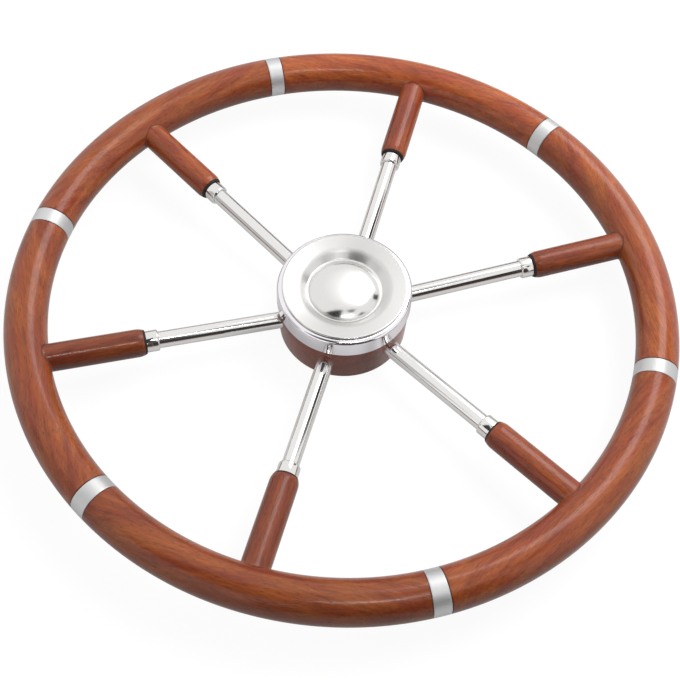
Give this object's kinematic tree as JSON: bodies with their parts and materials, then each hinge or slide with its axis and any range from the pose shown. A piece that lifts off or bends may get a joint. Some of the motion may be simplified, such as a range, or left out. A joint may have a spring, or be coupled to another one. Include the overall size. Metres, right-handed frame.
{
  "type": "boat steering wheel",
  "caption": "Dished boat steering wheel with a round mahogany rim, metal rim rings, wooden grips on polished tube spokes, and a metal-topped hub with a tapered keyed bore.",
  "frame": {"origin": "centre of the hub's base, on the wheel's axis, where the tapered bore opens", "axes": "+Z along the wheel's axis towards the driver, +Y along the king spoke, in line with the keyway"},
  "size_m": [0.56, 0.56, 0.057],
  "materials": {
    "rim_wood": "mahogany with gloss varnish",
    "grip_wood": "mahogany with gloss varnish",
    "hub_wood": "mahogany with gloss varnish",
    "dowel_wood": "plain hardwood",
    "ring_steel": "brushed stainless steel",
    "spoke_steel": "polished stainless steel",
    "ferrule_steel": "polished stainless steel",
    "band_steel": "polished stainless steel",
    "disc_steel": "satin stainless steel",
    "cap_steel": "polished stainless steel",
    "boss_steel": "turned stainless steel",
    "plate_steel": "turned stainless steel",
    "screw_steel": "stainless steel",
    "gasket_rubber": "matt black",
    "ring_rubber": "matt black"
  },
  "bodies": {
    "root": {"rim_segment_1": "rim_wood", "rim_segment_2": "rim_wood", "rim_segment_3": "rim_wood", "rim_segment_4": "rim_wood", "rim_segment_5": "rim_wood", "rim_segment_6": "rim_wood", "rim_ring_1": "ring_steel", "rim_ring_2": "ring_steel", "rim_ring_3": "ring_steel", "rim_ring_4": "ring_steel", "rim_ring_5": "ring_steel", "rim_ring_6": "ring_steel", "rim_dowel_1": "dowel_wood", "rim_dowel_2": "dowel_wood", "rim_dowel_3": "dowel_wood", "rim_dowel_4": "dowel_wood", "rim_dowel_5": "dowel_wood", "rim_dowel_6": "dowel_wood", "spoke_1": "spoke_steel", "spoke_2": "spoke_steel", "spoke_3": "spoke_steel", "spoke_4": "spoke_steel", "spoke_5": "spoke_steel", "spoke_6": "spoke_steel", "grip_1": "grip_wood", "grip_2": "grip_wood", "grip_3": "grip_wood", "grip_4": "grip_wood", "grip_5": "grip_wood", "grip_6": "grip_wood", "grip_washer_1": "gasket_rubber", "grip_washer_2": "gasket_rubber", "grip_washer_3": "gasket_rubber", "grip_washer_4": "gasket_rubber", "grip_washer_5": "gasket_rubber", "grip_washer_6": "gasket_rubber", "ferrule_1": "ferrule_steel", "ferrule_2": "ferrule_steel", "ferrule_3": "ferrule_steel", "ferrule_4": "ferrule_steel", "ferrule_5": "ferrule_steel", "ferrule_6": "ferrule_steel", "hub_boss": "boss_steel", "hub_wood_ring": "hub_wood", "base_plate": "plate_steel", "base_screws": "screw_steel", "hub_band": "band_steel", "band_screws": "screw_steel", "spoke_set_screws": "screw_steel", "hub_disc": "disc_steel", "centre_cap": "cap_steel", "cap_o_ring": "ring_rubber"}
  },
  "joints": []
}
